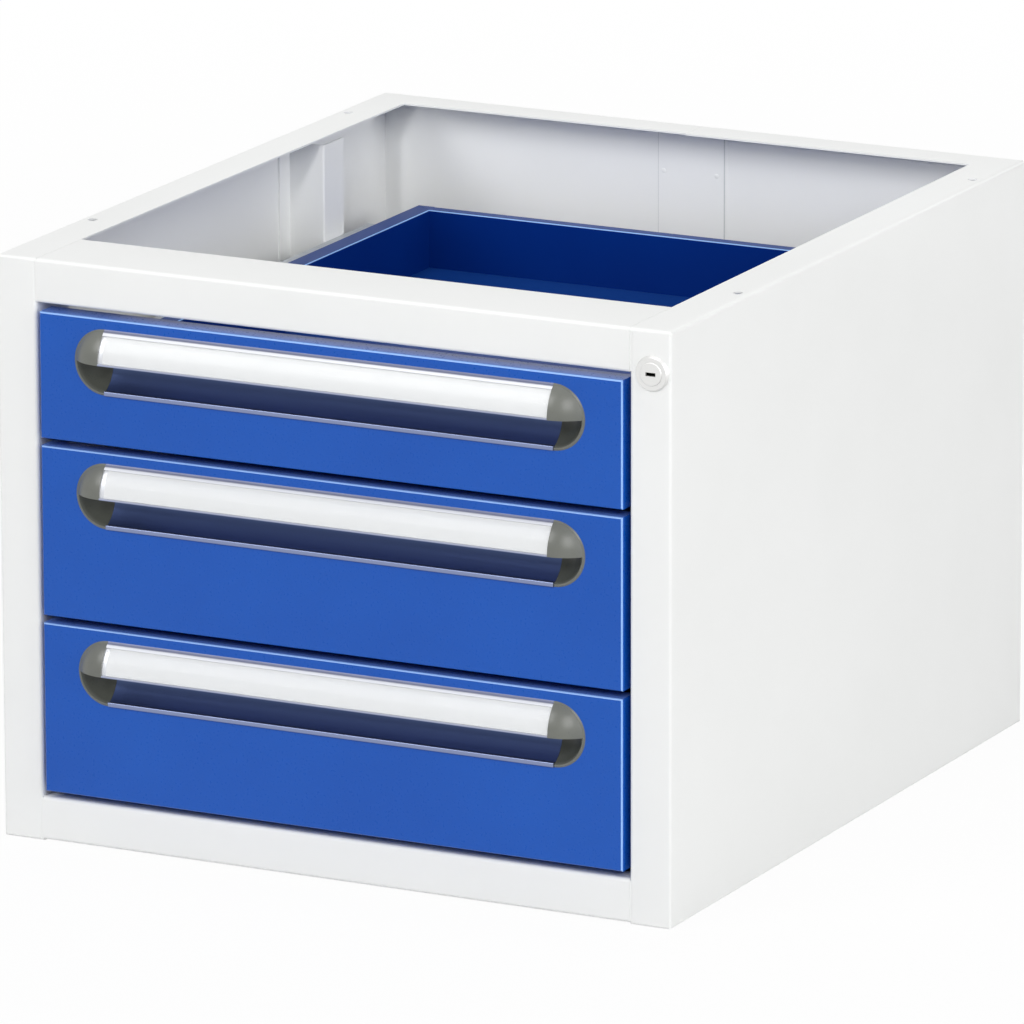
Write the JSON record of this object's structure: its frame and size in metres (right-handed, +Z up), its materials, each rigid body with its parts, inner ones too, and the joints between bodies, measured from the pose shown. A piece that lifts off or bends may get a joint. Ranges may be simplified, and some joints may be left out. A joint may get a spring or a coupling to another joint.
{
  "type": "under-bench drawer unit",
  "caption": "Drawer unit that bolts up under a workbench: open-topped steel casing, drawers with label-bar handles on telescopic slides, one lock that holds them all.",
  "frame": {"origin": "middle of the bounding box at its bottom: on the floor plane under the casing", "axes": "+X to the right seen from the front, +Y from the drawer fronts to the rear wall, +Z up"},
  "size_m": [0.49, 0.5634, 0.395],
  "materials": {
    "casing_paint": "off-white powder coat, satin",
    "drawer_paint": "blue powder coat, satin",
    "handle_aluminium": "anodised extrusion, satin",
    "cap_plastic": "mid-grey moulding, fine satin",
    "label_cover": "clear strip, gloss",
    "lock_nickel": "satin nickel plate",
    "zinc_steel": "bright zinc plate"
  },
  "bodies": {
    "casing": {"casing_left": "casing_paint", "casing_right": "casing_paint", "top_front_rail": "casing_paint", "bottom_front_rail": "casing_paint", "base_panel": "casing_paint", "rear_post_left": "casing_paint", "rear_post_right": "casing_paint", "lock_housing": "lock_nickel", "lock_nut": "zinc_steel", "lock_bar_guides": "zinc_steel", "cabinet_rail_1_left": "zinc_steel", "cabinet_rail_1_right": "zinc_steel", "cabinet_rail_2_left": "zinc_steel", "cabinet_rail_2_right": "zinc_steel", "cabinet_rail_3_left": "zinc_steel", "cabinet_rail_3_right": "zinc_steel"},
    "lock_core": {"lock_plug": "lock_nickel", "lock_cam": "zinc_steel"},
    "lock_bar": {"lock_bar": "zinc_steel"},
    "drawer_1": {"drawer_1_rail_left": "zinc_steel", "drawer_1_rail_right": "zinc_steel", "drawer_1_tray": "drawer_paint", "drawer_1_front": "drawer_paint", "drawer_1_handle": "handle_aluminium", "drawer_1_label_cover": "label_cover", "drawer_1_handle_ends": "cap_plastic", "drawer_1_catch": "zinc_steel"},
    "middle_rails_1": {"middle_rail_1_left": "zinc_steel", "middle_rail_1_right": "zinc_steel"},
    "drawer_2": {"drawer_2_rail_left": "zinc_steel", "drawer_2_rail_right": "zinc_steel", "drawer_2_tray": "drawer_paint", "drawer_2_front": "drawer_paint", "drawer_2_handle": "handle_aluminium", "drawer_2_label_cover": "label_cover", "drawer_2_handle_ends": "cap_plastic", "drawer_2_catch": "zinc_steel"},
    "middle_rails_2": {"middle_rail_2_left": "zinc_steel", "middle_rail_2_right": "zinc_steel"},
    "drawer_3": {"drawer_3_rail_left": "zinc_steel", "drawer_3_rail_right": "zinc_steel", "drawer_3_tray": "drawer_paint", "drawer_3_front": "drawer_paint", "drawer_3_handle": "handle_aluminium", "drawer_3_label_cover": "label_cover", "drawer_3_handle_ends": "cap_plastic", "drawer_3_catch": "zinc_steel"},
    "middle_rails_3": {"middle_rail_3_left": "zinc_steel", "middle_rail_3_right": "zinc_steel"}
  },
  "joints": [
    {"name": "drawer_1_slide", "type": "slide", "parent": "casing", "child": "drawer_1", "axis": [0, -1, 0], "range_m": [0, 0.45]},
    {"name": "middle_rails_1_slide", "type": "slide", "parent": "casing", "child": "middle_rails_1", "axis": [0, -1, 0], "range_m": [0, 0.225]},
    {"name": "drawer_2_slide", "type": "slide", "parent": "casing", "child": "drawer_2", "axis": [0, -1, 0], "range_m": [0, 0.45]},
    {"name": "middle_rails_2_slide", "type": "slide", "parent": "casing", "child": "middle_rails_2", "axis": [0, -1, 0], "range_m": [0, 0.225]},
    {"name": "drawer_3_slide", "type": "slide", "parent": "casing", "child": "drawer_3", "axis": [0, -1, 0], "range_m": [0, 0.45]},
    {"name": "middle_rails_3_slide", "type": "slide", "parent": "casing", "child": "middle_rails_3", "axis": [0, -1, 0], "range_m": [0, 0.225]},
    {"name": "lock_bar_slide", "type": "slide", "parent": "casing", "child": "lock_bar", "axis": [0, 0, 1], "range_m": [0, 0.01131]},
    {"name": "lock_turn", "type": "hinge", "parent": "casing", "child": "lock_core", "pos_m": [0.2315, -0.2683, 0.3665], "axis": [0, 1, 0], "range_deg": [0, 90]}
  ],
  "couplings": [
    {"joint": "middle_rails_1_slide", "follows": "drawer_1_slide", "ratio": 0.5},
    {"joint": "middle_rails_2_slide", "follows": "drawer_2_slide", "ratio": 0.5},
    {"joint": "middle_rails_3_slide", "follows": "drawer_3_slide", "ratio": 0.5},
    {"joint": "lock_turn", "follows": "lock_bar_slide", "rad_per_m": 138.84}
  ]
}
